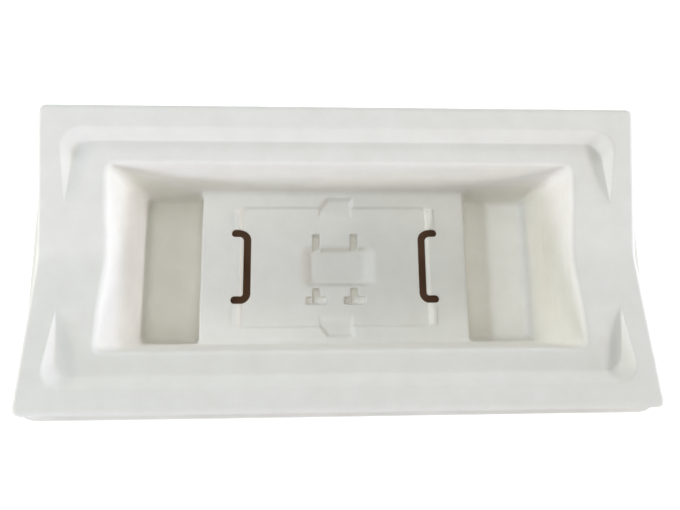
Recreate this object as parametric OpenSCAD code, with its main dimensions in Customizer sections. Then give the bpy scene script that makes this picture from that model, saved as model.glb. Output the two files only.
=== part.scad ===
// Moulded fibre tray, one pressed sheet of even thickness.
// A skirted flange dips in a shallow valley across the middle of both ends and steps
// down to a deep drafted bowl. The bowl holds a deck with a well at each end, and the
// deck has a framed panel, small pockets and two cut slots.
// Millimetres. +X runs along the length, +Y to the back, +Z up. The wells stand on Z = 0.

/* [Sheet] */
// Thickness of the pressed sheet
sheet_t = 2; // [1.6:0.1:2.6]

/* [Flange] */
// Length over the flange's upper edge
rim_l = 402; // [380:2:430]
// Width over the flange's upper edge
rim_w = 200; // [190:1:212]
// Height of the flange's four corners
rim_h = 76; // [66:1:90]
// Corner radius of the flange, seen from above
rim_r = 5; // [4.5:0.5:12]
// Radius that turns the flange down into the skirt
rim_edge_r = 3.5; // [2.5:0.5:4]
// Depth of the valley across the middle of both ends
valley_d = 16.5; // [8:0.5:20]
// Radius at the bottom of the valley
valley_r = 4; // [1:0.5:10]

/* [Skirt] */
// Height of the skirt under the lowest point of the valley
skirt_low_h = 10.5; // [9.5:0.5:16]
// How far the skirt leans out at the two ends
skirt_lean_end = 2.4; // [1:0.2:6]
// How far the skirt leans out along the two long sides
skirt_lean_side = 1; // [0.6:0.2:6]
// Width of the lip at the skirt's foot
lip_w = 3.3; // [2.8:0.1:6]
// Radius between the skirt and its lip
lip_r = 1.5; // [1:0.1:2]

/* [Step] */
// Width of the flange's outer band at the ends, in the corners
band_end = 13; // [10:0.5:15]
// Width of the flange's outer band along the long sides
band_side = 14; // [10:0.5:16]
// Width of the slope from the band down to the inner ring
step_run = 9.5; // [6:0.5:12]
// Drop of the ring below the band, at the long sides
step_drop = 4; // [1:0.5:6]
// Corner radius of the step's upper line
step_r = 16; // [12:0.5:20]
// Distance from the middle line at which the step runs out on the end flanges
step_tip_y = 34.5; // [25:0.5:42]

/* [Bowl] */
// Width of the whole flange at the ends
flange_end = 44; // [38:0.5:50]
// Width of the whole flange along the long sides
flange_side = 38; // [32:0.5:41]
// Corner radius of the bowl's mouth
mouth_r = 5; // [4:0.5:12]
// Radius that turns the flange down into the bowl
mouth_edge_r = 3; // [2.4:0.2:5]
// Draft of the end walls, in degrees
draft_end = 12.9; // [8:0.1:15]
// Draft of the long walls, in degrees
draft_side = 7.8; // [4:0.1:10]

/* [Deck and wells] */
// Height of the deck above the floor of the wells
deck_h = 20; // [15:0.5:25]
// Length of the deck
deck_l = 194; // [188:1:200]
// Offset of the deck from the middle of the tray
deck_x = -4; // [-10:0.5:10]
// Draft of the deck's two end walls, in degrees
draft_deck = 5; // [2:0.5:10]
// Radius of the deck's two free edges
deck_edge_r = 2.5; // [1.5:0.5:4]
// Corner radius of the wells beside the deck
well_r = 5; // [3:0.5:8]
// Radius at the foot of all the inner walls
foot_r = 3.5; // [2:0.5:5]

/* [Panel] */
// Length of the sunk panel on the deck, at its floor
panel_l = 136; // [130:1:139]
// Width of the sunk panel on the deck, at its floor
panel_w = 87; // [80:1:90]
// Depth of the panel below the deck
panel_d = 2; // [1:0.2:3]
// Width of the raised bead beside the panel's short sides
bead_w = 4.6; // [3:0.2:6]
// Height of that bead
bead_h = 1; // [0.6:0.1:1.5]
// Length of the tab that the panel has at its back and front
tab_l = 25; // [18:1:34]
// How far each tab runs past the panel's edge
tab_out = 7.5; // [5:0.5:8]
// How far each tab runs in over the panel
tab_in = 8; // [4:0.5:10]
// Lean of the tabs' walls
tab_lean = 2.2; // [1:0.2:3]
// Cut corner of each tab
tab_chamfer = 6.5; // [4:0.5:7]
// Depth of the tabs below the deck
tab_d = 3.6; // [3:0.2:5]

/* [Pockets] */
// Offset of the middle pocket from the middle of the deck
pocket_x = 1.5; // [-3:0.5:3]
// Length of the middle pocket at the panel's level
pocket_l = 53; // [50:1:62]
// Width of the middle pocket at the panel's level
pocket_w = 29; // [26:1:32]
// Depth of the middle pocket below the panel
pocket_d = 7; // [5:0.5:9]
// Lean of the middle pocket's end walls
pocket_lean_l = 6.5; // [4:0.5:9]
// Lean of the middle pocket's long walls
pocket_lean_w = 3; // [2:0.5:4]
// Spacing of the two grooves and of the two keyholes
groove_pitch = 28; // [26:0.5:30]
// Width of the grooves and of the keyholes' stems
groove_w = 6; // [5:0.5:8]
// Distance of the grooves' closed ends from the middle line
groove_end = 24.5; // [23:0.5:28]
// Depth of the grooves and stems below the panel
groove_d = 6; // [4:0.5:6]
// Length of each keyhole's foot, along X
key_l = 16; // [14:0.5:18]
// Width of each keyhole's foot, along Y
key_w = 6; // [5:0.5:8]
// Distance of the keyholes' closed ends from the middle line
key_end = 28; // [27:0.5:30]
// Depth of the keyholes' feet below the panel
key_d = 4; // [3:0.5:5]

/* [Slots] */
// Width of the two cut slots
slot_w = 5.6; // [4.5:0.1:7]
// Distance between the long runs of the two slots
slot_pitch = 128.5; // [124:0.5:132]
// Length of each slot along Y, between the middles of its arms
slot_l = 49; // [40:1:54]
// Length of each slot's arms, from the middle of the long run
slot_arm = 8.6; // [7:0.2:9]
// Bend radius of each slot, on its middle line
slot_bend_r = 5; // [4:0.5:7]

/* [Hidden] */

// Steps of a corner in plan, of an edge radius and of the flange's sloping step
ARC_STEPS = 6;
EDGE_STEPS = 4;
SLOPE_STEPS = 5;
// Sides of a full circle in the pressings
PRESS_SIDES = 16;
// Overlap that makes two solids one
EPS = 0.01;
// Least corner radius of a loop, and least share of the step's run at its tips
LEAST_R = 1;
LEAST_STEP = 0.12;
// Places along a straight end side at which the sheet has points, as shares of its half
END_SHARES = [0, 0.03, 0.07, 0.14, 0.26, 0.42, 0.6, 0.8];

floor_z = sheet_t;
deck_z = floor_z + deck_h;
panel_z = deck_z - panel_d;
lip_z = rim_h - valley_d - skirt_low_h + sheet_t;

mouth_a = rim_l / 2 - flange_end;
mouth_b = rim_w / 2 - flange_side;
step_top_a = rim_l / 2 - band_end;
step_top_b = rim_w / 2 - band_side;
// The end flanges' step runs out on the middle line of its own slope
step_tip_x = step_top_a - step_run / 2;

// Distance from the middle line with the valley's bottom rounded off
function soft(y) = sqrt(y * y + valley_r * valley_r) - valley_r;

// Height of the flange's outer band
function band_z(y) = rim_h - valley_d * (1 - min(1, soft(y) / soft(rim_w / 2)));

// The step has its full drop from this distance outwards
step_full_y = step_top_b - step_run;

// Share of the step's full drop: none inside the tips, all of it at the long sides
function step_share(y) = max(0, min(1, (abs(y) - step_tip_y) / (step_full_y - step_tip_y)));

// Height of the flange's inner ring
function ring_z(y) = band_z(y) - step_drop * step_share(y);

mouth_corner_z = ring_z(mouth_b);

// Half length and half width inside the bowl's walls at a height
function wall_a(z) = mouth_a - (mouth_corner_z - z) * tan(draft_end);
function wall_b(z) = mouth_b - (mouth_corner_z - z) * tan(draft_side);

function mix(a, b, t) = a + (b - a) * t;
function ease(t) = t * t * (3 - 2 * t);

// Smooth row of angles from 0 to a limit
function angles(limit) = [for (i = [0:EDGE_STEPS]) limit * i / EDGE_STEPS];

// One corner of an outline: arc about [x, y] from the angle given
function corner(x, y, r, start) =
    [for (i = [0:ARC_STEPS]) let (q = start + 90 * i / ARC_STEPS) [x + r * cos(q), y + r * sin(q)]];

// Points along one end side, from one corner arc to the next, without the arcs' own ends
function end_side(x, half, way, shares) =
    concat([for (i = [len(shares) - 1:-1:1]) [x, -way * half * shares[i]]],
           [for (s = shares) [x, way * half * s]]);

// Rounded rectangle about [cx, 0]. r_hi rounds its +X corners and r_lo its -X corners.
function outline(cx, a, b, r_hi, r_lo, shares) =
    concat(end_side(cx + a, b - r_hi, 1, shares),
           corner(cx + a - r_hi, b - r_hi, r_hi, 0),
           corner(cx - a + r_lo, b - r_lo, r_lo, 90),
           end_side(cx - a, b - r_lo, -1, shares),
           corner(cx - a + r_lo, -b + r_lo, r_lo, 180),
           corner(cx + a - r_hi, -b + r_hi, r_hi, 270));

// A station is one loop of the sheet: half length, half width and corner radius, then
// [share of band height, share of ring height, level], then the sheet's normal as
// [towards the middle, up]
function station(a, b, r, height, normal) = [a, b, r, height, normal];

// Height of a station's loop at y
function station_z(s, y) = s[3][0] * band_z(y) + s[3][1] * ring_z(y) + s[3][2];

// Loop of a station, pushed off the upper skin by a depth
function station_loop(s, depth) =
    [for (p = outline(0, s[0] + depth * s[4][0], s[1] + depth * s[4][0],
                      s[2] + depth * s[4][0], s[2] + depth * s[4][0], END_SHARES))
        [p[0] + end_shift(s, p), p[1], station_z(s, p[1]) - depth * s[4][1]]];

// The mouth's end edges follow the ring down into the valley. A lower edge lies further
// in, so that the end walls under it stay flat.
function at_end(p) = abs(p[0]) > mouth_a - 2 * mouth_r;
function end_shift(s, p) =
    s[3][1] == 1 && at_end(p)
        ? sign(p[0]) * (ring_z(p[1]) - mouth_corner_z) * tan(draft_end) : 0;

// Skirt and lip, from the lip's cut edge inwards and up to the flange
lip_top = [0, 0, lip_z];
skirt_foot = [0, 0, lip_z + lip_r];
skirt_stations = concat(
    [station(rim_l / 2 + skirt_lean_end + lip_w, rim_w / 2 + skirt_lean_side + lip_w,
             rim_r + lip_w, lip_top, [0, 1])],
    [for (q = angles(90))
        station(rim_l / 2 + skirt_lean_end + lip_r * (1 - sin(q)),
                rim_w / 2 + skirt_lean_side + lip_r * (1 - sin(q)),
                rim_r + lip_r * (1 - sin(q)),
                [0, 0, lip_z + lip_r * (1 - cos(q))], [-sin(q), cos(q)])],
    [for (q = angles(90))
        station(rim_l / 2 - rim_edge_r * (1 - cos(q)), rim_w / 2 - rim_edge_r * (1 - cos(q)),
                rim_r - rim_edge_r * (1 - cos(q)) + EPS,
                [1, 0, -rim_edge_r * (1 - sin(q))], [-cos(q), sin(q)])]);

// Step between the outer band and the ring, an eased slope
step_stations = [for (i = [0:SLOPE_STEPS])
    let (t = i / SLOPE_STEPS)
    station(step_top_a - step_run * t, step_top_b - step_run * t, step_r - step_run * t / 2,
            [1 - ease(t), ease(t), 0], [0, 1])];

// The step's loops close up towards its tips on the end flanges
function step_loop(s, depth) =
    [for (p = station_loop(s, depth))
        let (pull = abs(p[0]) > step_top_a - step_run - step_r
                  ? max(LEAST_STEP, step_share(p[1])) : 1)
        [sign(p[0]) * mix(step_tip_x, abs(p[0]), pull), p[1], p[2]]];

// Mouth edge, from the ring into the wall
end_turn = 90 - draft_end;
side_turn = 90 - draft_side;
function mouth_inset(q, turn) = mouth_edge_r * (sin(q * turn / end_turn) - tan(turn / 2));
mouth_stations = [for (q = angles(end_turn))
    station(mouth_a - mouth_inset(q, end_turn), mouth_b - mouth_inset(q, side_turn),
            mouth_r - mouth_inset(q, end_turn),
            [0, 1, -mouth_edge_r * (1 - cos(q))], [sin(q), cos(q)])];

// Foot of the inner walls: an arc from the wall down to a flat floor
foot_rise = foot_r * (1 - cos(end_turn));
function foot_out(r, q) = r * sin(q) - foot_r * sin(end_turn);
function foot_level(r, q) = foot_r - r * cos(q);
foot_stations = [for (q = reversed(angles(end_turn)))
    let (out = foot_out(foot_r, q), z = deck_z + foot_rise)
    station(wall_a(z) + out, wall_b(z) + out, max(LEAST_R, mouth_r + out),
            [0, 0, deck_z + foot_level(foot_r, q)], [sin(q), cos(q)])];

// Underside of the deck's rim: the wall's outer face runs straight down to the deck's
// underside, so that the wells keep their full wall
under_z = deck_z - sheet_t;
wall_out = sheet_t / cos(draft_end);
under_loop = [for (p = outline(0, wall_a(under_z) + wall_out, wall_b(under_z) + wall_out,
                               mouth_r + sheet_t, mouth_r + sheet_t, END_SHARES))
    [p[0], p[1], under_z]];

upper_loops = concat([for (s = skirt_stations) station_loop(s, 0)],
                     [for (s = step_stations) step_loop(s, 0)],
                     [for (s = mouth_stations) station_loop(s, 0)],
                     [for (s = foot_stations) station_loop(s, 0)]);
lower_loops = concat([for (s = skirt_stations) station_loop(s, sheet_t)],
                     [for (s = step_stations) step_loop(s, sheet_t)],
                     [for (s = mouth_stations) station_loop(s, sheet_t)],
                     [under_loop]);

function reversed(list) = [for (i = [len(list) - 1:-1:0]) list[i]];

// Solid between the loops of a list, closed by a flat face at its first and last loop.
// The first loop is the upper one.
module loft(loops) {
    n = len(loops[0]);
    last = len(loops) - 1;
    sides = [for (i = [0:last - 1], j = [0:n - 1])
        let (k = (j + 1) % n)
        each [[i * n + j, i * n + k, (i + 1) * n + k],
              [i * n + j, (i + 1) * n + k, (i + 1) * n + j]]];
    first_face = [for (j = [n - 1:-1:0]) j];
    last_face = [for (j = [0:n - 1]) last * n + j];
    polyhedron(points = [for (loop = loops) each loop],
               faces = concat([first_face], sides, [last_face]), convexity = 8);
}

// Flange, skirt, bowl walls and deck as one folded sheet
module folded_sheet() {
    loft(concat(reversed(upper_loops), lower_loops));
}

// Place along X of a well's wall on the deck's side, at a height
function edge_flare(z) =
    let (up = max(0, min(deck_edge_r, z - deck_z + deck_edge_r)))
    deck_edge_r - sqrt(deck_edge_r * deck_edge_r - up * up);
function well_in(side, z) =
    deck_x + side * (deck_l / 2 + (deck_z - z) * tan(draft_deck) - edge_flare(z));

// Loop of a well at a level, from its walls' places at height z, set out by a distance
function well_loop(side, z, out, level) =
    let (x_in = well_in(side, z) - side * out,
         x_out = side * (wall_a(z) + out),
         r_out = max(LEAST_R, mouth_r + out),
         r_in = max(LEAST_R, well_r + out))
    [for (p = outline((x_in + x_out) / 2, abs(x_out - x_in) / 2, wall_b(z) + out,
                      side > 0 ? r_out : r_in, side > 0 ? r_in : r_out, [0]))
        [p[0], p[1], level]];

// Rounded foot of a well for the hollow's or the body's own radius
function well_foot(side, r) = [for (q = reversed(angles(end_turn)))
    well_loop(side, floor_z + foot_rise, foot_out(r, q), floor_z + foot_level(r, q))];

// Hollow of a well, with a rounded foot and the deck's rounded edge. Above the deck it
// takes the foot of the bowl's walls away, and it narrows there to stay clear of them.
HOLLOW_GAP = 0.2;
module well_hollow(side) {
    loft(concat(
        [well_loop(side, deck_z + foot_r, -HOLLOW_GAP, deck_z + foot_r)],
        [for (q = angles(90))
            let (z = deck_z - deck_edge_r * (1 - cos(q))) well_loop(side, z, 0, z)],
        well_foot(side, foot_r)));
}

// Outside of a well. It keeps a little inside the sheet's outline where it meets the deck's
// underside, narrows above it and ends inside the sheet.
JOINT_STEP = 0.1;
module well_body(side) {
    top_z = deck_z - sheet_t / 2;
    loft(concat(
        [well_loop(side, top_z, wall_out / 2, top_z),
         well_loop(side, under_z, wall_out - JOINT_STEP, under_z)],
        well_foot(side, foot_r + sheet_t)));
}

// Plain rounded rectangle about the middle
module round_rect(l, w, r) {
    for (x = [-1, 1], y = [-1, 1])
        translate([x * (l / 2 - r), y * (w / 2 - r)]) circle(r, $fn = PRESS_SIDES);
}

// Pressing from its first outline at top_z down to its second one. With grow above 0 it
// is the solid that holds the pressing, and its top ends inside the sheet.
module pressing(top_z, depth, grow) {
    hull() {
        translate([0, 0, top_z - (grow > 0 ? sheet_t / 2 : 0)])
            linear_extrude(grow > 0 ? EPS : 3 * EPS)
                offset(r = grow, $fn = PRESS_SIDES) children(0);
        translate([0, 0, top_z - depth - grow])
            linear_extrude(EPS)
                offset(r = grow, $fn = PRESS_SIDES) children(1);
    }
}

// Pocket with a rectangular mouth and a smaller floor
module pocket(l, w, lean_l, lean_w, r, top_z, depth, grow) {
    pressing(top_z, depth, grow) {
        round_rect(l, w, r);
        round_rect(l - 2 * lean_l, w - 2 * lean_w, max(LEAST_R, r - lean_w));
    }
}

// Lean and corner radius of the panel's low wall
PANEL_LEAN = 1;
PANEL_R = 3;

module panel(grow) {
    pocket(panel_l + 2 * PANEL_LEAN, panel_w + 2 * PANEL_LEAN, PANEL_LEAN, PANEL_LEAN, PANEL_R,
           deck_z, panel_d, grow);
}

// Outline of a tab at the panel's back, with its left corner cut off steeply
TAB_CUT_SLOPE = 1.3;
TAB_R = 0.8;
module tab_outline() {
    far = panel_w / 2 + tab_out;
    near = panel_w / 2 - tab_in;
    polygon([[-tab_l / 2, near], [tab_l / 2, near], [tab_l / 2, far],
             [-tab_l / 2 + tab_chamfer, far], [-tab_l / 2, far - tab_chamfer * TAB_CUT_SLOPE]]);
}

// Tab at the panel's back (side 1) or front (side -1)
module tab(side, grow) {
    scale([1, side, 1])
        pressing(deck_z, tab_d, grow) {
            offset(r = TAB_R, $fn = PRESS_SIDES) tab_outline();
            offset(delta = TAB_R - tab_lean) tab_outline();
        }
}

// Raised bead along one short side of the panel, from its corner to the slot's arm
BEAD_GAP = 1;
BEAD_SETBACK = 0.5;
BEAD_R = 0.6;
BEAD_ROOT = 0.3;
module bead(side, way) {
    near = slot_l / 2 + slot_w / 2 + BEAD_GAP;
    far = panel_w / 2;
    run = far - near;
    flank = bead_w / 3;
    root = flank * BEAD_ROOT / bead_h;
    translate([side * (panel_l / 2 + PANEL_LEAN + BEAD_SETBACK + bead_w / 2),
               way * (near + far) / 2, deck_z - BEAD_ROOT])
        hull() {
            linear_extrude(EPS) round_rect(bead_w + 2 * root, run + 2 * root, BEAD_R);
            linear_extrude(bead_h + BEAD_ROOT)
                round_rect(bead_w - 2 * flank, run - 2 * flank, BEAD_R);
        }
}

POCKET_R = 4;
module middle_pocket(grow) {
    translate([pocket_x, 0, 0])
        pocket(pocket_l, pocket_w, pocket_lean_l, pocket_lean_w, POCKET_R, panel_z, pocket_d, grow);
}

// Corner radius and the two leans of the grooves, stems and feet: steep at their long sides
SMALL_R = 2.4;
STEEP_LEAN = 0.6;
SMALL_LEAN = 1;

// Groove that leaves the middle pocket towards the back
module groove(side, grow) {
    reach = groove_end - pocket_w / 2 + groove_w;
    translate([side * groove_pitch / 2, groove_end - reach / 2, 0])
        pocket(groove_w, reach, STEEP_LEAN, SMALL_LEAN, SMALL_R, panel_z, groove_d, grow);
}

// Keyhole in front of the middle pocket: a deep stem across a shallower foot
STEM_SETBACK = 0.6;
module keyhole(side, grow) {
    stem = key_end - STEM_SETBACK - pocket_w / 2 - SMALL_LEAN;
    translate([side * groove_pitch / 2, -key_end + STEM_SETBACK + stem / 2, 0])
        pocket(groove_w, stem, STEEP_LEAN, SMALL_LEAN, SMALL_R, panel_z, groove_d, grow);
    translate([side * groove_pitch / 2, -key_end + key_w / 2, 0])
        pocket(key_l, key_w, SMALL_LEAN, STEEP_LEAN, SMALL_R, panel_z, key_d, grow);
}

// Everything that is pressed down into the deck
module pressings(grow) {
    panel(grow);
    for (side = [-1, 1]) tab(side, grow);
    middle_pocket(grow);
    for (side = [-1, 1]) {
        groove(side, grow);
        keyhole(side, grow);
    }
}

// Arc from one angle to another
function arc(x, y, r, from, to) =
    [for (i = [0:ARC_STEPS]) let (q = mix(from, to, i / ARC_STEPS)) [x + r * cos(q), y + r * sin(q)]];

// Outline of one slot: a long run with an arm at each end, both towards +X
function slot_outline() =
    let (y = slot_l / 2, half = slot_w / 2, r = slot_bend_r)
    concat(arc(slot_arm, -y, half, 0, -90),
           arc(r, r - y, r + half, 270, 180),
           arc(r, y - r, r + half, 180, 90),
           arc(slot_arm, y, half, 90, 0),
           arc(slot_arm, y, half, -15, -90),
           arc(r, y - r, r - half, 90, 180),
           arc(r, r - y, r - half, 180, 270),
           arc(slot_arm, -y, half, 90, 15));

// Slot cut through the sheet, its arms pointing away from the middle
module slot(side) {
    translate([side * slot_pitch / 2, 0, panel_z - 2 * sheet_t])
        scale([side, 1, 1])
            linear_extrude(4 * sheet_t + panel_d)
                polygon(slot_outline());
}

module tray() {
    color("whitesmoke")
        difference() {
            union() {
                folded_sheet();
                for (side = [-1, 1]) well_body(side);
                translate([deck_x, 0, 0]) {
                    pressings(sheet_t);
                    for (side = [-1, 1], way = [-1, 1]) bead(side, way);
                }
            }
            for (side = [-1, 1]) well_hollow(side);
            translate([deck_x, 0, 0]) {
                pressings(0);
                for (side = [-1, 1]) slot(side);
            }
        }
}

tray();
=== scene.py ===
# Moulded pulp tray, as it looks: one pressed sheet of bleached fibre on a pale floor.
# All lengths are in millimetres until the mesh is made, and Blender's are in metres.
import math

import bpy
import numpy as np
from mathutils import Matrix, Vector


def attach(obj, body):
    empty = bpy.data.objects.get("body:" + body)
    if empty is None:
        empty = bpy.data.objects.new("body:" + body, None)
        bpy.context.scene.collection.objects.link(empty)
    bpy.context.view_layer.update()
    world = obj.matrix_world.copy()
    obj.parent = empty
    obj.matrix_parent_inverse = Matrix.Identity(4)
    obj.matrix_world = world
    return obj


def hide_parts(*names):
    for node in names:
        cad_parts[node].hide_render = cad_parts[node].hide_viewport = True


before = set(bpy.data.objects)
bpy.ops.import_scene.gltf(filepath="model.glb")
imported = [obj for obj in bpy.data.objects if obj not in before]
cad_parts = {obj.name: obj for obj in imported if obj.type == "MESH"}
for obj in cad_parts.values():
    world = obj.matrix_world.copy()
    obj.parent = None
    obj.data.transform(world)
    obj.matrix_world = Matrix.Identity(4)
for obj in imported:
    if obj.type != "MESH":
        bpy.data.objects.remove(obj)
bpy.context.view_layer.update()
MM = 0.001

# The tray's sizes, as in its construction source, with a few that only the looks have
SHEET = 2.0
RIM_L, RIM_W, RIM_H = 402.0, 200.0, 76.0
RIM_R, RIM_EDGE_R = 5.0, 3.5
VALLEY_D, VALLEY_R = 16.5, 4.0
SKIRT_LOW_H, SKIRT_LEAN_END, SKIRT_LEAN_SIDE = 10.5, 2.4, 1.0
LIP_W, LIP_R = 3.3, 1.5
BAND_END, BAND_SIDE = 13.0, 14.0
STEP_RUN, STEP_DROP, STEP_R, STEP_TIP_Y = 9.5, 4.0, 16.0, 34.5
FLANGE_END, FLANGE_SIDE = 44.0, 38.0
MOUTH_R, MOUTH_EDGE_R = 5.0, 3.0
DRAFT_END, DRAFT_SIDE = math.radians(12.9), math.radians(7.8)
DECK_H, DECK_L, DECK_X = 20.0, 194.0, -4.0
DRAFT_DECK, DECK_EDGE_R, FOOT_R = math.radians(5.0), 2.5, 3.5
PANEL_L, PANEL_W, PANEL_D, PANEL_LEAN, PANEL_R = 136.0, 87.0, 2.0, 1.0, 3.0
BEAD_W, BEAD_H, BEAD_GAP, BEAD_SETBACK, BEAD_R = 4.6, 1.0, 1.0, 0.5, 1.0
TAB_L, TAB_OUT, TAB_IN, TAB_CUT, TAB_D, TAB_LEAN = 25.0, 7.5, 8.0, 6.5, 3.6, 2.2
TAB_R, TAB_CUT_SLOPE, TAB_CUT_R, TAB_RUN_OUT = 0.8, 1.3, 0.2, 0.35
POCKET_X, POCKET_L, POCKET_W, POCKET_D = 1.5, 53.0, 29.0, 7.0
POCKET_LEAN_L, POCKET_LEAN_W, POCKET_R = 6.5, 3.0, 4.0
GROOVE_PITCH, GROOVE_W, GROOVE_END, GROOVE_D = 28.0, 6.0, 24.5, 6.0
KEY_L, KEY_W, KEY_END, KEY_D = 16.0, 6.0, 28.0, 4.0
SMALL_R, STEEP_LEAN, SMALL_LEAN, STEM_SETBACK = 1.5, 0.6, 1.0, 0.6
SLOT_W, SLOT_PITCH, SLOT_L, SLOT_ARM, SLOT_BEND_R = 5.6, 128.5, 49.0, 8.6, 5.0

# The step's foot is scooped out near the corners, and its run never shrinks below this share
SCOOP_D, SCOOP_RUN, LEAST_STEP = 2.4, 14.0, 0.12
# Parts of the step's slope that its rounded head and foot take
STEP_HEAD, STEP_FOOT = 0.2, 0.12
# Roundings that only the looks have: at a press's foot and at its edge
PANEL_FOOT_R, PANEL_EDGE_R = 0.7, 0.8
TAB_FOOT_R, TAB_EDGE_R = 0.8, 0.9
POCKET_FOOT_R, POCKET_EDGE_R = 1.5, 2.0
SMALL_FOOT_R, SMALL_EDGE_R = 0.8, 0.7
LIP_EDGE_R, LIP_EDGE_BEVEL = 0.5, 0.15

FLOOR_Z = SHEET
DECK_Z = FLOOR_Z + DECK_H
PANEL_Z = DECK_Z - PANEL_D
LIP_Z = RIM_H - VALLEY_D - SKIRT_LOW_H + SHEET
MOUTH_A, MOUTH_B = RIM_L / 2 - FLANGE_END, RIM_W / 2 - FLANGE_SIDE
STEP_A, STEP_B = RIM_L / 2 - BAND_END, RIM_W / 2 - BAND_SIDE


def ease(t):
    return t * t * (3 - 2 * t)


def ramp(t):
    """A straight slope with a rounded head and a tighter foot."""
    straight = 1 - STEP_HEAD / 2 - STEP_FOOT / 2
    rise = np.where(t < STEP_HEAD, t * t / (2 * STEP_HEAD), t - STEP_HEAD / 2)
    return np.where(t > 1 - STEP_FOOT, straight - (1 - t) ** 2 / (2 * STEP_FOOT), rise) / straight


def soft(y):
    """Distance from the valley's middle line, rounded where the valley turns."""
    return np.sqrt(y * y + VALLEY_R * VALLEY_R) - VALLEY_R


def band_height(y):
    return RIM_H - VALLEY_D * (1 - np.minimum(1, soft(y) / soft(RIM_W / 2)))


def step_share(y):
    """How much of the step there is: none by the valley, all of it along the sides."""
    full = STEP_B - STEP_RUN
    return np.clip((np.abs(y) - STEP_TIP_Y) / (full - STEP_TIP_Y), 0, 1)


def ring_height(y):
    return band_height(y) - STEP_DROP * step_share(y)


MOUTH_CORNER_Z = ring_height(MOUTH_B)


# Halvings of the range in which a place on the step, or a height, is searched for
STEP_HALVINGS, HEIGHT_HALVINGS = 12, 24
LOWEST_Z, HIGHEST_Z = -4.0, 80.0


# Distances are negative inside a form and positive outside it
def rounded_box(x, y, a, b, r, lean_a=0.0, lean_b=0.0):
    qx = (np.abs(x) - a) * math.cos(lean_a) + r
    qy = (np.abs(y) - b) * math.cos(lean_b) + r
    return np.hypot(np.maximum(qx, 0), np.maximum(qy, 0)) + np.minimum(np.maximum(qx, qy), 0) - r


def both(a, b, r):
    """What lies in both forms, with its edge rounded off to radius r."""
    return np.minimum(-r, np.maximum(a, b)) + np.hypot(np.maximum(a + r, 0), np.maximum(b + r, 0))


def either(a, b, r):
    """The two forms as one, with a fillet of radius r between them."""
    return np.maximum(r, np.minimum(a, b)) - np.hypot(np.maximum(r - a, 0), np.maximum(r - b, 0))


def step_progress(x, y):
    """How far the step has gone from the band (0) to the ring (1)."""
    tip_x = STEP_A - STEP_RUN / 2
    pull = np.maximum(LEAST_STEP, step_share(y))
    u = np.abs(x)
    u = np.where(u > STEP_A - STEP_RUN - STEP_R, tip_x + (u - tip_x) / pull, u)
    low, high = np.zeros_like(u), np.ones_like(u)
    for _ in range(STEP_HALVINGS):
        t = (low + high) / 2
        outside = rounded_box(u, y, STEP_A - STEP_RUN * t, STEP_B - STEP_RUN * t,
                              STEP_R - STEP_RUN * t / 2) < 0
        low, high = np.where(outside, t, low), np.where(outside, high, t)
    return (low + high) / 2


def scoop(x):
    """Extra depth at the step's foot near the ends, which rises again towards the bowl."""
    near = (np.abs(x) - (STEP_A - STEP_RUN - SCOOP_RUN)) / SCOOP_RUN
    return SCOOP_D * ease(np.clip(near, 0, 1))


def flange_height(x, y):
    return band_height(y) - (STEP_DROP + scoop(x)) * step_share(y) * ramp(step_progress(x, y))


def bead_height(x, y):
    near = SLOT_L / 2 + SLOT_W / 2 + BEAD_GAP
    far = PANEL_W / 2
    slope = BEAD_W / 3
    middle_x = PANEL_L / 2 + PANEL_LEAN + BEAD_SETBACK + BEAD_W / 2
    edge = rounded_box(np.abs(x) - middle_x, np.abs(y) - (near + far) / 2,
                       BEAD_W / 2, (far - near) / 2, BEAD_R)
    return BEAD_H * ease(np.clip(-edge / slope, 0, 1))


def press(solid, outline, floor_z, z, foot_r, edge_r):
    """Press a pocket with the given outline down to floor_z."""
    pocket = both(outline, floor_z - z, foot_r)
    return both(solid, -pocket, edge_r)


def pressed_box(solid, x, y, z, box, radius, top_z, depth, foot_r, edge_r):
    """Pocket with a rectangular mouth: box is its half sizes and its leans."""
    half_a, half_b, lean_a, lean_b = box
    down = (top_z - z) / depth
    outline = rounded_box(x, y, half_a - lean_a * down, half_b - lean_b * down, radius,
                          math.atan(lean_a / depth), math.atan(lean_b / depth))
    return press(solid, outline, top_z - depth, z, foot_r, edge_r)


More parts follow.
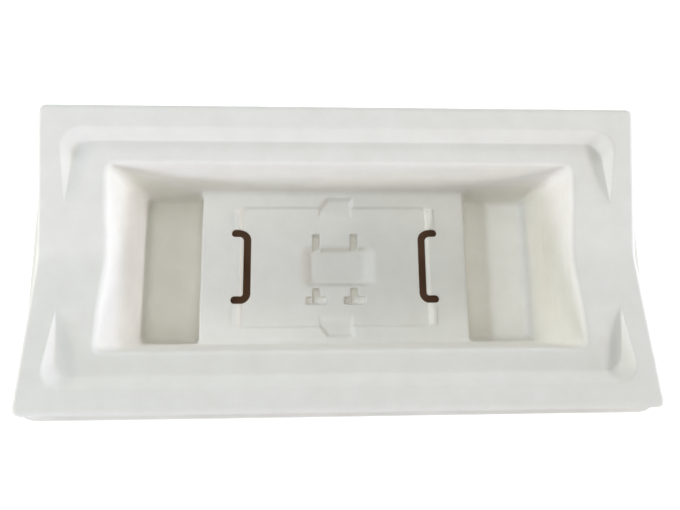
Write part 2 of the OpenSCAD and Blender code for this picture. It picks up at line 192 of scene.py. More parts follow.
def deck(x, y, z):
    """The deck with everything that is pressed into it."""
    solid = z - DECK_Z - bead_height(x, y)
    panel = PANEL_L / 2 + PANEL_LEAN, PANEL_W / 2 + PANEL_LEAN, PANEL_LEAN, PANEL_LEAN
    solid = pressed_box(solid, x, y, z, panel, PANEL_R,
                        DECK_Z, PANEL_D, PANEL_FOOT_R, PANEL_EDGE_R)
    for side in (-1, 1):
        far, near = PANEL_W / 2 + TAB_OUT, PANEL_W / 2 - TAB_IN
        cut_y = far - TAB_CUT * TAB_CUT_SLOPE
        norm = math.hypot(TAB_CUT, TAB_CUT * TAB_CUT_SLOPE)
        corner = (-(x + TAB_L / 2) * TAB_CUT * TAB_CUT_SLOPE + (side * y - cut_y) * TAB_CUT) / norm
        outline = both(np.abs(x) - TAB_L / 2, side * y - far, TAB_R)
        outline = both(both(outline, (near - side * y) * TAB_RUN_OUT, TAB_R), corner, TAB_CUT_R)
        outline = outline - TAB_R + TAB_LEAN * (DECK_Z - z) / TAB_D
        outline = outline * math.cos(math.atan(TAB_LEAN / TAB_D))
        solid = press(solid, outline, DECK_Z - TAB_D, z, TAB_FOOT_R, TAB_EDGE_R)
    solid = pressed_box(solid, x - POCKET_X, y, z,
                        (POCKET_L / 2, POCKET_W / 2, POCKET_LEAN_L, POCKET_LEAN_W), POCKET_R,
                        PANEL_Z, POCKET_D, POCKET_FOOT_R, POCKET_EDGE_R)
    reach = GROOVE_END - POCKET_W / 2 + GROOVE_W
    stem = KEY_END - STEM_SETBACK - POCKET_W / 2 - SMALL_LEAN
    for side in (-1, 1):
        u = x - side * GROOVE_PITCH / 2
        solid = pressed_box(solid, u, y - GROOVE_END + reach / 2, z,
                            (GROOVE_W / 2, reach / 2, STEEP_LEAN, SMALL_LEAN), SMALL_R,
                            PANEL_Z, GROOVE_D, SMALL_FOOT_R, SMALL_EDGE_R)
        solid = pressed_box(solid, u, y + KEY_END - STEM_SETBACK - stem / 2, z,
                            (GROOVE_W / 2, stem / 2, STEEP_LEAN, SMALL_LEAN), SMALL_R,
                            PANEL_Z, GROOVE_D, SMALL_FOOT_R, SMALL_EDGE_R)
        solid = pressed_box(solid, u, y + KEY_END - KEY_W / 2, z,
                            (KEY_L / 2, KEY_W / 2, SMALL_LEAN, STEEP_LEAN), SMALL_R,
                            PANEL_Z, KEY_D, SMALL_FOOT_R, SMALL_EDGE_R)
    return solid


def tray_solid(x, y, z, flange):
    """Distance from the tray's upper skin, with the flange's height given."""
    drop = MOUTH_CORNER_Z - z
    bowl = rounded_box(x, y, MOUTH_A - drop * math.tan(DRAFT_END),
                       MOUTH_B - drop * math.tan(DRAFT_SIDE), MOUTH_R, DRAFT_END, DRAFT_SIDE)
    walls = both(z - flange, -bowl, MOUTH_EDGE_R)
    floor = deck(x - DECK_X, y, z)
    for side in (-1, 1):
        well = DECK_L / 2 + (DECK_Z - z) * math.tan(DRAFT_DECK) - side * (x - DECK_X)
        floor = both(floor, -well * math.cos(DRAFT_DECK), DECK_EDGE_R)
    floor = either(floor, z - FLOOR_Z, FOOT_R)
    return either(walls, floor, FOOT_R)


def skin_height(x, y, depth):
    """Height of the sheet's skin, or of the face that lies depth below it."""
    flange = flange_height(x, y)
    low, high = np.full_like(flange, LOWEST_Z), np.full_like(flange, HIGHEST_Z)
    for _ in range(HEIGHT_HALVINGS):
        z = (low + high) / 2
        under = tray_solid(x, y, z, flange) < -depth
        low, high = np.where(under, z, low), np.where(under, high, z)
    return (low + high) / 2


# The flat part of the sheet ends where the flange turns down into the skirt
FLAT_A, FLAT_B, FLAT_R = RIM_L / 2 - RIM_EDGE_R, RIM_W / 2 - RIM_EDGE_R, RIM_R - RIM_EDGE_R
# The sheet's net has three blocks, each in a gap of the one before: flange, bowl and presses.
# A block's gap is wider than the next block by this much all round, and closed by a seam.
SEAM = 1.2
SAME_PLACE = 1e-3
BOWL_A, BOWL_B = 168.0, 69.5
PRESS_X, PRESS_Y = (DECK_X - 30.0, DECK_X + 33.0), (-31.8, 28.2)
# Widest gaps between a net's lines: flange beyond the bowl, beside its long sides and beside
# its short ones; bowl, and its share near the side walls; presses
FLANGE_GAP, LONG_GAP, SHORT_GAP = 1.1, 5.0, 1.8
BOWL_GAP, SIDE_WALL_SHARE, PRESS_GAP = 3.4, 0.7, 1.2
# The bend is measured every 0.25 mm, at its sharpest sections, and smoothed over five places
PROBE_GAP, SHARPEST, SMOOTHED = 0.25, 0.96, 5


def bend_lines(first, last, sections, along_x, depth, turn, gap):
    """Places of a net's lines from first to last, close together where the sheet bends."""
    run = np.linspace(first, last, int(math.ceil((last - first) / PROBE_GAP)) + 1)
    u, v = np.meshgrid(run, sections)
    z = skin_height(u, v, depth) if along_x else skin_height(v, u, depth)
    slope = np.arctan(np.diff(z, axis=1) / (run[1] - run[0]))
    bend = np.quantile(np.abs(np.diff(slope, axis=1)), SHARPEST, axis=0)
    bend = np.concatenate([[0], bend, [0]])
    bend = np.convolve(bend, np.ones(SMOOTHED) / SMOOTHED, "same")
    weight = np.cumsum(bend / turn + PROBE_GAP / gap)
    weight -= weight[0]
    return np.interp(np.linspace(0, weight[-1], int(math.ceil(weight[-1])) + 1), weight, run)


def net_lines(spans, along_x, depth, turn):
    """Lines of all the spans: each has its two ends, its sections and its widest gap."""
    lines = [bend_lines(first, last, sections, along_x, depth, turn, gap)
             for first, last, sections, gap in spans]
    return np.unique(np.round(np.concatenate(lines), 5))


def beyond(near, far, count):
    """Sections on both sides of the middle, from near to far."""
    one_side = np.linspace(near, far, count)
    return np.concatenate([-one_side, one_side])


def around(gap, reach, count):
    """Sections up to reach that leave out the gap."""
    run = np.linspace(-reach, reach, count)
    return run[(run < gap[0]) | (run > gap[1])]


def flange_net(depth, turn, coarse):
    end_a, end_b = FLAT_A - FLAT_R, FLAT_B - FLAT_R
    all_x, all_y = beyond(0, end_a, 45), np.linspace(-end_b, end_b, 56)
    far_x, far_y = beyond(BOWL_A, end_a, 12), beyond(BOWL_B, end_b, 12)
    gap = FLANGE_GAP * coarse
    xs = net_lines([(-end_a, -BOWL_A, all_y, gap), (-BOWL_A, BOWL_A, far_y, LONG_GAP),
                    (BOWL_A, end_a, all_y, gap)], True, depth, turn)
    ys = net_lines([(-end_b, -BOWL_B, all_x, gap), (-BOWL_B, BOWL_B, far_x, SHORT_GAP * coarse),
                    (BOWL_B, end_b, all_x, gap)], False, depth, turn)
    corner = FLAT_R * np.array([0.5, 1])
    xs = np.concatenate([-end_a - corner[::-1], xs, end_a + corner])
    ys = np.concatenate([-end_b - corner[::-1], ys, end_b + corner])
    return xs, ys


def bowl_net(depth, turn, coarse):
    a, b = BOWL_A - SEAM, BOWL_B - SEAM
    gap = BOWL_GAP * coarse
    side_gap = gap * SIDE_WALL_SHARE
    all_x, all_y = np.linspace(-a, a, 110), np.linspace(-b, b, 60)
    xs = net_lines([(-a, PRESS_X[0], all_y, gap),
                    (PRESS_X[0], PRESS_X[1], around(PRESS_Y, b, 90), gap),
                    (PRESS_X[1], a, all_y, gap)], True, depth, turn)
    ys = net_lines([(-b, PRESS_Y[0], all_x, side_gap),
                    (PRESS_Y[0], PRESS_Y[1], around(PRESS_X, a, 110), gap),
                    (PRESS_Y[1], b, all_x, side_gap)], False, depth, turn)
    return xs, ys


def press_net(depth, turn, coarse):
    (x0, x1), (y0, y1) = PRESS_X, PRESS_Y
    x0, x1, y0, y1 = x0 + SEAM, x1 - SEAM, y0 + SEAM, y1 - SEAM
    gap = PRESS_GAP * coarse
    xs = net_lines([(x0, x1, np.linspace(y0, y1, 90), gap)], True, depth, turn)
    ys = net_lines([(y0, y1, np.linspace(x0, x1, 90), gap)], False, depth, turn)
    return xs, ys


def rim_of(index):
    """A block's outermost points, counter-clockwise as seen from above."""
    return np.concatenate([index[:-1, 0], index[-1, :-1], index[:0:-1, -1], index[0, :0:-1]])


def run_of(xs, ys):
    """How far round the rim each of its points lies: one for each side."""
    fx, fy = (xs - xs[0]) / (xs[-1] - xs[0]), (ys - ys[0]) / (ys[-1] - ys[0])
    return np.concatenate([fx[:-1], 1 + fy[:-1], 3 - fx[:0:-1], 4 - fy[:0:-1]])


def seam(a, b, run_a, run_b):
    """Triangles between rim a and rim b inside it, matched by their run."""
    faces = []
    i = j = 0
    a, b = a.tolist(), b.tolist()
    run_a, run_b = np.append(run_a, 4.0), np.append(run_b, 4.0)
    while i < len(a) or j < len(b):
        here_a, here_b = a[i % len(a)], b[j % len(b)]
        if j >= len(b) or (i < len(a) and run_a[i + 1] <= run_b[j + 1]):
            faces.append((here_a, a[(i + 1) % len(a)], here_b))
            i += 1
        else:
            faces.append((here_a, b[(j + 1) % len(b)], here_b))
            j += 1
    return faces


class Skin:
    """One face of the sheet: three blocks of net and rings down the skirt."""

    def __init__(self, depth, turn, coarse, ring_list):
        self.depth = depth
        self.points, self.faces, self.count = [], [], 0
        bowl_gap = ((-BOWL_A, BOWL_A), (-BOWL_B, BOWL_B))
        rim, run, gap_rim, gap_run = self.block(*flange_net(depth, turn, coarse), bowl_gap)
        bowl = self.block(*bowl_net(depth, turn, coarse), (PRESS_X, PRESS_Y))
        self.faces += seam(gap_rim, bowl[0], gap_run, bowl[1])
        presses = self.block(*press_net(depth, turn, coarse), None)
        self.faces += seam(bowl[2], presses[0], bowl[3], presses[1])
        flat = np.concatenate(self.points)[rim, :2]
        inner_a, inner_b = FLAT_A - FLAT_R, FLAT_B - FLAT_R
        centre = np.clip(flat, [-inner_a, -inner_b], [inner_a, inner_b])
        way = flat - centre
        way /= np.linalg.norm(way, axis=1)[:, None]
        self.loop, self.run = rim, run
        lean = SKIRT_LEAN_SIDE + (SKIRT_LEAN_END - SKIRT_LEAN_SIDE) * way[:, 0] ** 2
        for ring in ring_list:
            self.add_ring(centre, way, lean, ring)

    def block(self, xs, ys, gap):
        """A block of net, with the gap that the next block fills; gives its rims and runs."""
        gx, gy = np.meshgrid(xs, ys, indexing="ij")
        over_x, over_y = np.abs(gx) - FLAT_A + FLAT_R, np.abs(gy) - FLAT_B + FLAT_R
        in_corner = (over_x > 0) & (over_y > 0)
        size = np.maximum(np.hypot(over_x, over_y), 1e-9)
        shrink = np.where(in_corner, np.maximum(over_x, over_y) / size, 1)
        x = np.where(in_corner, np.sign(gx) * (FLAT_A - FLAT_R + over_x * shrink), gx)
        y = np.where(in_corner, np.sign(gy) * (FLAT_B - FLAT_R + over_y * shrink), gy)
        self.points.append(np.stack([x, y, skin_height(x, y, self.depth)], axis=-1).reshape(-1, 3))
        index = self.count + np.arange(gx.size).reshape(gx.shape)
        self.count += gx.size
        kept = np.ones((len(xs) - 1, len(ys) - 1), bool)
        inner = None, None
        if gap:
            i = np.searchsorted(xs, np.array(gap[0]) - SAME_PLACE)
            j = np.searchsorted(ys, np.array(gap[1]) - SAME_PLACE)
            kept[i[0]:i[1], j[0]:j[1]] = False
            part = slice(i[0], i[1] + 1), slice(j[0], j[1] + 1)
            inner = rim_of(index[part]), run_of(xs[part[0]], ys[part[1]])
        quads = np.stack([index[:-1, :-1], index[1:, :-1], index[1:, 1:], index[:-1, 1:]], axis=-1)
        self.faces += [tuple(q) for q in quads[kept].tolist()]
        return rim_of(index), run_of(xs, ys), *inner

    def add_ring(self, centre, way, lean, ring):
        """One more ring outside the last. It follows the valley by its band_part."""
        out, level, band_part = ring(lean)
        place = centre + way * (FLAT_R + out)[:, None]
        z = band_part * band_height(place[:, 1]) + level
        new = self.count + np.arange(len(self.loop))
        self.points.append(np.column_stack([place, z]))
        sides = np.stack([self.loop, new, np.roll(new, -1), np.roll(self.loop, -1)], axis=-1)
        self.faces += [tuple(q) for q in sides.tolist()]
        self.loop = new
        self.count += len(new)


def turned_edge(r, angle):
    """Ring on the edge between flange and skirt."""
    def ring(lean):
        one = np.ones_like(lean)
        return r * math.sin(angle) * one, (r * math.cos(angle) - RIM_EDGE_R) * one, one
    return ring


def skirt(out, share):
    """Ring on the skirt, at a share of the way from the flange's edge to the lip."""
    def ring(lean):
        one = np.ones_like(lean)
        low = LIP_Z + LIP_R
        return (RIM_EDGE_R + lean * share + out, (low * share - RIM_EDGE_R * (1 - share)) * one,
                (1 - share) * one)
    return ring


def lip_turn(r, angle):
    """Ring on the hollow between skirt and lip."""
    def ring(lean):
        one = np.ones_like(lean)
        return (RIM_EDGE_R + lean + LIP_R - r * math.sin(angle),
                (LIP_Z + LIP_R - r * math.cos(angle)) * one, 0 * one)
    return ring


def lip_edge(inset, down):
    """Ring at the lip's cut edge."""
    def ring(lean):
        one = np.ones_like(lean)
        return RIM_EDGE_R + lean + LIP_W - inset, (LIP_Z - down) * one, 0 * one
    return ring


def share_list(count, first, last):
    return [first + (last - first) * i / count for i in range(1, count + 1)]


quarter = math.pi / 2
upper_rings = ([turned_edge(RIM_EDGE_R, a) for a in share_list(5, 0, quarter)]
               + [skirt(0, s) for s in share_list(3, 0, 1)]
               + [lip_turn(LIP_R, quarter - a) for a in share_list(3, 0, quarter)]
               + [lip_edge(LIP_EDGE_R, 0), lip_edge(LIP_EDGE_BEVEL, LIP_EDGE_BEVEL),
                  lip_edge(0, LIP_EDGE_R)])
lower_rings = ([turned_edge(RIM_EDGE_R - SHEET, a) for a in share_list(2, 0, quarter)]
               + [skirt(-SHEET, s) for s in share_list(2, 0, 1)]
               + [lip_turn(LIP_R + SHEET, quarter - a) for a in share_list(4, 0, quarter)]
               + [lip_edge(LIP_EDGE_R, SHEET), lip_edge(LIP_EDGE_BEVEL, SHEET - LIP_EDGE_BEVEL),
                  lip_edge(0, SHEET - LIP_EDGE_R)])

# Turn of the sheet from line to line, and how much wider the gaps are: finer where it is seen
UPPER_TURN, UPPER_COARSE = math.radians(17), 1.0
LOWER_TURN, LOWER_COARSE = math.radians(30), 1.7
upper = Skin(0.0, UPPER_TURN, UPPER_COARSE, upper_rings)
lower = Skin(SHEET, LOWER_TURN, LOWER_COARSE, lower_rings)


def sheet_mesh():
    """The two skins, joined along the lip's edge, without the points that no face uses."""
    points = np.concatenate(upper.points + lower.points) * MM
    shift = upper.count
    faces = upper.faces + [tuple(k + shift for k in reversed(f)) for f in lower.faces]
    edge = seam(upper.loop, lower.loop + shift, upper.run, lower.run)
    faces += [tuple(reversed(f)) for f in edge]
    used = np.zeros(len(points), bool)
    for face in faces:
        used[list(face)] = True
    name = np.cumsum(used) - 1
    mesh = bpy.data.meshes.new("tray_sheet")
    mesh.from_pydata(points[used].tolist(), [], [tuple(int(name[k]) for k in f) for f in faces])
    mesh.update()
    return mesh


def add_node(tree, kind, settings=(), values=(), links=()):
    """A node with its settings, its sockets' values and its links from other nodes' outputs."""
    node = tree.nodes.new(kind)
    for name, value in dict(settings).items():
        setattr(node, name, value)
    for socket, value in dict(values).items():
        node.inputs[socket].default_value = value
    for socket, output in dict(links).items():
        tree.links.new(output, node.inputs[socket])
    return node


def linear(hex_colour):
    """sRGB hex to the linear colour that shaders use."""
    parts = [int(hex_colour[i:i + 2], 16) / 255 for i in (1, 3, 5)]
    return [p / 12.92 if p <= 0.04045 else ((p + 0.055) / 1.055) ** 2.4 for p in parts] + [1.0]


def per_metre(size_mm):
    """Texture scale that gives features of this size."""
    return 1000 / size_mm


def material_tree(name):
    material = bpy.data.materials.new(name)
    material.use_nodes = True
    material.node_tree.nodes.clear()
    return material, material.node_tree


# Sizes of the pulp's patterns. Single fibres are 0.03 mm thick, and their mat is drawn coarser
# so that it shows. The mould was milled in steps, which leave level lines on the walls.
FIBRE_MAT_MM, CLOUD_MM, MOULD_STEP_MM, SPECK_APART_MM = 0.7, 16, 4, 22
LINE_STRETCH = 0.04
# Lines are on what is steeper than the second slope, given by the normal's upright part, and
# are this many times as deep as the mat
FLAT_FROM, STEEP_FROM, LINE_DEPTH = 0.75, 0.35, 6.0
# A cell has a speck if its chance is higher than this, of a radius up to a part of the cell
SPECK_CHANCE, SPECK_RADIUS, SPECK_STRENGTH = 0.62, 0.024, 0.55
GRAIN_STRENGTH = 0.16
RELIEF_M, RELIEF_STRENGTH = 0.0003, 0.35
PULP_SHADE, PULP_LIGHT, PULP_GRAIN, PULP_SPECK = "#E9E6DE", "#F5F3EC", "#D6D3C9", "#8F887A"


# Bleached wood pulp, pressed wet between heated moulds: an off-white mat of short fibres,
# matt, a little uneven in tone, with a few darker fibre bundles left from the stock.
def bleached_moulded_pulp():
    material, tree = material_tree("bleached_moulded_pulp")
    place = add_node(tree, "ShaderNodeTexCoord").outputs["Object"]
    mat = add_node(tree, "ShaderNodeTexNoise", {"noise_dimensions": "3D"},

                                                         {"Scale": per_metre(FIBRE_MAT_MM), "Detail": 3.0, "Roughness": 0.6, "Distortion": 1.2},
                   {"Vector": place}).outputs["Fac"]
    cloud = add_node(tree, "ShaderNodeTexNoise", {},
                     {"Scale": per_metre(CLOUD_MM), "Detail": 4.0, "Roughness": 0.55},
                     {"Vector": place}).outputs["Fac"]
    level = add_node(tree, "ShaderNodeMapping", {}, {"Scale": (LINE_STRETCH, LINE_STRETCH, 1.0)},
                     {"Vector": place}).outputs["Vector"]
    marks = add_node(tree, "ShaderNodeTexNoise", {},
                     {"Scale": per_metre(MOULD_STEP_MM), "Detail": 2.0, "Roughness": 0.6},
                     {"Vector": level}).outputs["Fac"]
    facing = add_node(tree, "ShaderNodeNewGeometry").outputs["Normal"]
    upright = add_node(tree, "ShaderNodeSeparateXYZ", {}, {}, {"Vector": facing}).outputs["Z"]
    flatness = add_node(tree, "ShaderNodeMath", {"operation": "ABSOLUTE"}, {}, {0: upright})
    on_wall = add_node(tree, "ShaderNodeMapRange", {"clamp": True},
                       {"From Min": STEEP_FROM, "From Max": FLAT_FROM,
                        "To Min": LINE_DEPTH, "To Max": 0.0},
                       {"Value": flatness.outputs["Value"]}).outputs["Result"]
    cell = add_node(tree, "ShaderNodeTexVoronoi", {"feature": "F1"},
                    {"Scale": per_metre(SPECK_APART_MM), "Randomness": 1.0}, {"Vector": place})
    chance = add_node(tree, "ShaderNodeSeparateColor", {}, {}, {"Color": cell.outputs["Color"]})
    speck_r = add_node(tree, "ShaderNodeMapRange", {"clamp": True},
                       {"From Min": SPECK_CHANCE, "From Max": 1.0,
                        "To Min": 0.0, "To Max": SPECK_RADIUS},
                       {"Value": chance.outputs["Red"]}).outputs["Result"]
    speck = add_node(tree, "ShaderNodeMath", {"operation": "LESS_THAN"}, {},
                     {0: cell.outputs["Distance"], 1: speck_r}).outputs["Value"]
    tone = add_node(tree, "ShaderNodeMix", {"data_type": "RGBA"},
                    {"A": linear(PULP_SHADE), "B": linear(PULP_LIGHT)}, {"Factor": cloud})
    grain = add_node(tree, "ShaderNodeMapRange", {"clamp": True},
                     {"From Min": 0.3, "From Max": 0.7, "To Min": 0.0, "To Max": GRAIN_STRENGTH},
                     {"Value": mat}).outputs["Result"]
    grained = add_node(tree, "ShaderNodeMix", {"data_type": "RGBA"},
                       {"B": linear(PULP_GRAIN)},
                       {"Factor": grain, "A": tone.outputs["Result"]})
    speck_part = add_node(tree, "ShaderNodeMath", {"operation": "MULTIPLY"}, {1: SPECK_STRENGTH},
                          {0: speck}).outputs["Value"]
    colour = add_node(tree, "ShaderNodeMix", {"data_type": "RGBA"}, {"B": linear(PULP_SPECK)},
                      {"Factor": speck_part, "A": grained.outputs["Result"]}).outputs["Result"]
    relief = add_node(tree, "ShaderNodeMath", {"operation": "MULTIPLY_ADD"}, {},
                      {0: marks, 1: on_wall, 2: mat}).outputs["Value"]
    bump = add_node(tree, "ShaderNodeBump", {}, {"Strength": RELIEF_STRENGTH, "Distance": RELIEF_M},
                    {"Height": relief}).outputs["Normal"]
    shader = add_node(tree, "ShaderNodeBsdfPrincipled", {},
                      {"Roughness": 0.92, "IOR": 1.5, "Specular IOR Level": 0.3},
                      {"Base Color": colour, "Normal": bump})
    add_node(tree, "ShaderNodeOutputMaterial", {}, {}, {"Surface": shader.outputs["BSDF"]})
    return material


pulp = bleached_moulded_pulp()


# Height of the cutters, and the steps of their bends and round ends
CUT_H, BEND_STEPS, END_STEPS = 12.0, 10, 28


def slot_cutter_tree():
    """Geometry Nodes that punch the two cut slots through the sheet."""
    tree = bpy.data.node_groups.new("punched_slots", "GeometryNodeTree")
    face = tree.interface
    face.new_socket("Geometry", in_out="INPUT", socket_type="NodeSocketGeometry")
    sizes = {"Slot width": SLOT_W, "Slot length": SLOT_L, "Slot pitch": SLOT_PITCH,
             "Arm": SLOT_ARM, "Bend radius": SLOT_BEND_R, "Deck offset": DECK_X,
             "Cut height": CUT_H, "Cut middle": PANEL_Z}
    for name, value in sizes.items():
        socket = face.new_socket(name, in_out="INPUT", socket_type="NodeSocketFloat")
        socket.default_value = value * MM
    finish = face.new_socket("Finish", in_out="INPUT", socket_type="NodeSocketMaterial")
    finish.default_value = pulp
    face.new_socket("Geometry", in_out="OUTPUT", socket_type="NodeSocketGeometry")
    given = tree.nodes.new("NodeGroupInput").outputs

    def maths(operation, a, b):
        node = tree.nodes.new("ShaderNodeMath")
        node.operation = operation
        for socket, value in zip(node.inputs, (a, b)):
            if isinstance(value, float):
                socket.default_value = value
            else:
                tree.links.new(value, socket)
        return node.outputs["Value"]

    # Four points: arm end, corner, corner, arm end
    line = add_node(tree, "GeometryNodeMeshLine", {}, {"Count": 4})
    index = add_node(tree, "GeometryNodeInputIndex").outputs["Index"]
    from_middle = maths("ABSOLUTE", maths("SUBTRACT", index, 1.5), 0.0)
    at_end = maths("GREATER_THAN", from_middle, 1.0)
    upper_half = maths("GREATER_THAN", index, 1.5)
    side_y = maths("SUBTRACT", upper_half, 0.5)
    corner_at = add_node(tree, "ShaderNodeCombineXYZ", {}, {},
                         {"X": maths("MULTIPLY", at_end, given["Arm"]),
                          "Y": maths("MULTIPLY", side_y, given["Slot length"])})
    placed = add_node(tree, "GeometryNodeSetPosition", {}, {},
                      {"Geometry": line.outputs["Mesh"], "Position": corner_at.outputs["Vector"]})
    path = add_node(tree, "GeometryNodeMeshToCurve", {}, {}, {"Mesh": placed.outputs["Geometry"]})
    bent = add_node(tree, "GeometryNodeFilletCurve", {"mode": "POLY"},
                    {"Count": BEND_STEPS, "Limit Radius": True},
                    {"Curve": path.outputs["Curve"], "Radius": given["Bend radius"]})
    section = add_node(tree, "GeometryNodeCurvePrimitiveQuadrilateral", {"mode": "RECTANGLE"}, {},
                       {"Width": given["Slot width"], "Height": given["Cut height"]})
    run = add_node(tree, "GeometryNodeCurveToMesh", {}, {"Fill Caps": True},
                   {"Curve": bent.outputs["Curve"], "Profile Curve": section.outputs["Curve"]})
    punch = add_node(tree, "GeometryNodeMeshCylinder", {"fill_type": "NGON"},
                     {"Vertices": END_STEPS},
                     {"Radius": maths("MULTIPLY", given["Slot width"], 0.5),
                      "Depth": given["Cut height"]})
    ends = add_node(tree, "GeometryNodeInstanceOnPoints", {}, {},
                    {"Points": placed.outputs["Geometry"], "Selection": at_end,
                     "Instance": punch.outputs["Mesh"]})
    round_ends = add_node(tree, "GeometryNodeRealizeInstances", {}, {},
                          {"Geometry": ends.outputs["Instances"]})
    half_pitch = maths("MULTIPLY", given["Slot pitch"], 0.5)
    cutters = []
    for side in (-1.0, 1.0):
        middle = maths("ADD", maths("MULTIPLY", half_pitch, side), given["Deck offset"])
        where = add_node(tree, "ShaderNodeCombineXYZ", {}, {},
                         {"X": middle, "Z": given["Cut middle"]})
        for piece in (run.outputs["Mesh"], round_ends.outputs["Geometry"]):
            moved = add_node(tree, "GeometryNodeTransform", {},
                             {"Rotation": (0.0, 0.0, 0.0 if side > 0 else math.pi)},
                             {"Geometry": piece, "Translation": where.outputs["Vector"]})
            cutters.append(moved.outputs["Geometry"])
    cut = add_node(tree, "GeometryNodeMeshBoolean", {"operation": "DIFFERENCE", "solver": "EXACT"},
                   {}, {"Mesh 1": given["Geometry"]})
    for cutter in cutters:
        tree.links.new(cutter, cut.inputs["Mesh 2"])
    whole = add_node(tree, "GeometryNodeRealizeInstances", {}, {},
                     {"Geometry": cut.outputs["Mesh"]})
    finished = add_node(tree, "GeometryNodeSetMaterial", {}, {},
                        {"Geometry": whole.outputs["Geometry"], "Material": given["Finish"]})
    out = tree.nodes.new("NodeGroupOutput")
    tree.links.new(finished.outputs["Geometry"], out.inputs["Geometry"])
    return tree


def punched(sheet):
    """The sheet with its slots cut, as a plain mesh."""
    holder = bpy.data.objects.new("tray_blank", sheet)
    bpy.context.scene.collection.objects.link(holder)
    modifier = holder.modifiers.new("punched_slots", "NODES")
    modifier.node_group = slot_cutter_tree()
    seen = holder.evaluated_get(bpy.context.evaluated_depsgraph_get())
    mesh = bpy.data.meshes.new_from_object(seen)
    holder.modifiers.clear()
    bpy.data.objects.remove(holder)
    return mesh


SHARP_FROM = math.radians(55)
tray_mesh = punched(sheet_mesh())
tray_mesh.name = "pulp_tray"
tray_mesh.shade_smooth()
tray_mesh.set_sharp_from_angle(angle=SHARP_FROM)
tray = bpy.data.objects.new("pulp_tray", tray_mesh)
bpy.context.scene.collection.objects.link(tray)
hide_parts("tray")
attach(tray, "root")


# Half sizes in metres of the brown part below the deck, and of the part round the wells where
# the board doesn't glow, with the widths over which the one turns into the other
BROWN_HALF, BROWN_EDGE = (0.084, 0.042), 0.006
DULL_HALF, DULL_EDGE, GLOW = (0.17, 0.07), 0.035, 0.5
BROWN, WHITE_BOARD = "#76553C", "#EFEFEC"


# White board round the tray, on a brown table that shows through the slots below the deck.
# The board's own brightness for the camera makes the background white and leaves the
# shade near the tray.
def table_top():
    material, tree = material_tree("white_board_on_brown_table")
    place = add_node(tree, "ShaderNodeTexCoord").outputs["Object"]
    apart = add_node(tree, "ShaderNodeVectorMath", {"operation": "ABSOLUTE"}, {}, {0: place})

    def beyond_box(half_x, half_y):
        """How far the place lies outside a box about the middle, along its worse side."""
        out = add_node(tree, "ShaderNodeVectorMath", {"operation": "SUBTRACT"},
                       {1: (half_x, half_y, 0.0)}, {0: apart.outputs["Vector"]})
        split = add_node(tree, "ShaderNodeSeparateXYZ", {}, {}, {"Vector": out.outputs["Vector"]})
        return add_node(tree, "ShaderNodeMath", {"operation": "MAXIMUM"}, {},
                        {0: split.outputs["X"], 1: split.outputs["Y"]}).outputs["Value"]

    open_floor = add_node(tree, "ShaderNodeMapRange", {"interpolation_type": "SMOOTHSTEP"},
                          {"From Min": 0.0, "From Max": DULL_EDGE, "To Min": 0.0, "To Max": GLOW},
                          {"Value": beyond_box(*DULL_HALF)})
    rays = add_node(tree, "ShaderNodeLightPath")
    seen = add_node(tree, "ShaderNodeMath", {"operation": "MAXIMUM"}, {},
                    {0: rays.outputs["Is Camera Ray"], 1: rays.outputs["Is Glossy Ray"]})
    glow = add_node(tree, "ShaderNodeMath", {"operation": "MULTIPLY"}, {},
                    {0: open_floor.outputs["Result"], 1: seen.outputs["Value"]})
    board = add_node(tree, "ShaderNodeMapRange", {"interpolation_type": "SMOOTHSTEP"},
                     {"From Min": 0.0, "From Max": BROWN_EDGE},
                     {"Value": beyond_box(*BROWN_HALF)})
    colour = add_node(tree, "ShaderNodeMix", {"data_type": "RGBA"},
                      {"A": linear(BROWN), "B": linear(WHITE_BOARD)},
                      {"Factor": board.outputs["Result"]})
    paint = add_node(tree, "ShaderNodeBsdfPrincipled", {},
                     {"Roughness": 0.8, "Emission Color": linear("#FFFFFF")},
                     {"Base Color": colour.outputs["Result"],
                      "Emission Strength": glow.outputs["Value"]})
    add_node(tree, "ShaderNodeOutputMaterial", {}, {}, {"Surface": paint.outputs["BSDF"]})
    return material


floor_mesh = bpy.data.meshes.new("floor")
reach = 4.0
corners = [(-reach, -reach, 0), (reach, -reach, 0), (reach, reach, 0), (-reach, reach, 0)]
floor_mesh.from_pydata(corners, [], [(0, 1, 2, 3)])
floor_mesh.materials.append(table_top())
floor = bpy.data.objects.new("floor", floor_mesh)
bpy.context.scene.collection.objects.link(floor)


# Lamps face this point, in metres
LIT_POINT = Vector((0.0, 0.0, 0.05))


def soft_lamp(name, bearing, height, distance, size, power, hex_colour):
    """Soft box that faces the tray. Bearing is from the tray's right, height above the floor,
    both in degrees; distance and size (width, height) are in metres."""
    data = bpy.data.lights.new(name, "AREA")
    data.shape = "RECTANGLE"
    data.size, data.size_y = size
    data.energy = power
    data.color = linear(hex_colour)[:3]
    lamp = bpy.data.objects.new(name, data)
    a, e = math.radians(bearing), math.radians(height)
    way = Vector((math.cos(a) * math.cos(e), math.sin(a) * math.cos(e), math.sin(e)))
    lamp.location = LIT_POINT + distance * way
    lamp.rotation_euler = (-way).to_track_quat("-Z", "Y").to_euler()
    bpy.context.scene.collection.objects.link(lamp)


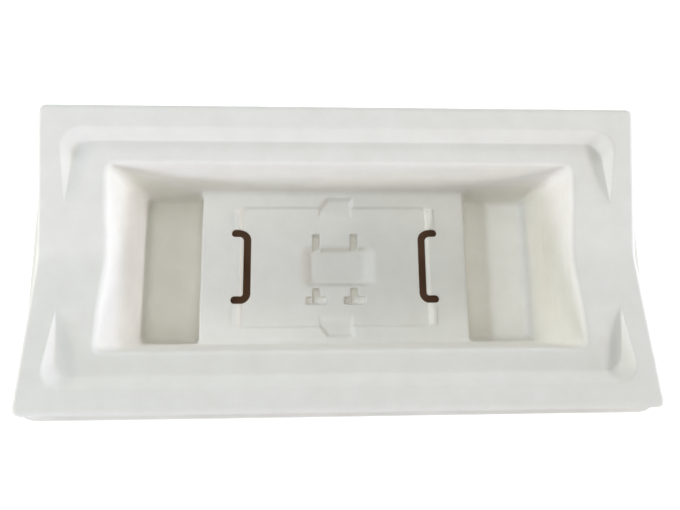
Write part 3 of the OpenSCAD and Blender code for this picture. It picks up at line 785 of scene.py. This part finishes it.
soft_lamp("right_grazing_strip", 0, 4, 1.6, (0.9, 0.08), 12.12, "#CFE0FF")
soft_lamp("right_low_box", 0, 12, 1.4, (0.5, 0.15), 9.12, "#FBF6FF")
soft_lamp("back_box", 90, 22, 1.4, (0.9, 0.15), 5.43, "#F3FAFF")
soft_lamp("left_window", 180, 40, 1.3, (0.5, 0.16), 5.63, "#E2EEFF")
soft_lamp("left_low_box", 180, 10, 1.4, (0.5, 0.15), 4.27, "#FFF6D0")
soft_lamp("front_left_box", 225, 10, 1.4, (0.5, 0.15), 7.95, "#E8E8FF")
soft_lamp("front_right_box", 315, 12, 1.4, (0.5, 0.15), 4.07, "#FFFFF5")
soft_lamp("overhead_box", 0, 88, 1.0, (1.2, 0.9), 4.46, "#FDFEF9")

# White for the camera, and very faint as a light
SKY, SKY_LIGHT, SKY_SEEN = "#FBFCFF", 0.02, 1.0
world = bpy.data.worlds.new("soft_studio")
bpy.context.scene.world = world
world.use_nodes = True
world.node_tree.nodes.clear()
rays = add_node(world.node_tree, "ShaderNodeLightPath")
seen = add_node(world.node_tree, "ShaderNodeMath", {"operation": "MAXIMUM"}, {},
                {0: rays.outputs["Is Camera Ray"], 1: rays.outputs["Is Glossy Ray"]})
strength = add_node(world.node_tree, "ShaderNodeMapRange", {},
                    {"To Min": SKY_LIGHT, "To Max": SKY_SEEN}, {"Value": seen.outputs["Value"]})
sky = add_node(world.node_tree, "ShaderNodeBackground", {}, {"Color": linear(SKY)},
               {"Strength": strength.outputs["Result"]})
add_node(world.node_tree, "ShaderNodeOutputWorld", {}, {},
         {"Surface": sky.outputs["Background"]})

# Camera where the photograph was taken: above the tray, a little to the left and in front
PHOTO_WIDTH_PX, FOCAL_PX, SENSOR_MM = 680, 590, 36.0
CAMERA_AT = (-0.02148, -0.07495, 0.4455)
ROLL, YAW, PITCH = 0.0021, 0.0486, -0.1937
lens = bpy.data.cameras.new("camera")
lens.sensor_width = SENSOR_MM
lens.lens = FOCAL_PX / PHOTO_WIDTH_PX * SENSOR_MM
lens.clip_start = 0.01
camera = bpy.data.objects.new("camera", lens)
turn = Matrix.Rotation(ROLL, 4, "Z") @ Matrix.Rotation(YAW, 4, "Y") @ Matrix.Rotation(PITCH, 4, "X")
camera.matrix_world = Matrix.Translation(CAMERA_AT) @ turn.transposed()
bpy.context.scene.collection.objects.link(camera)
bpy.context.scene.camera = camera
bpy.context.scene.view_settings.view_transform = "Standard"
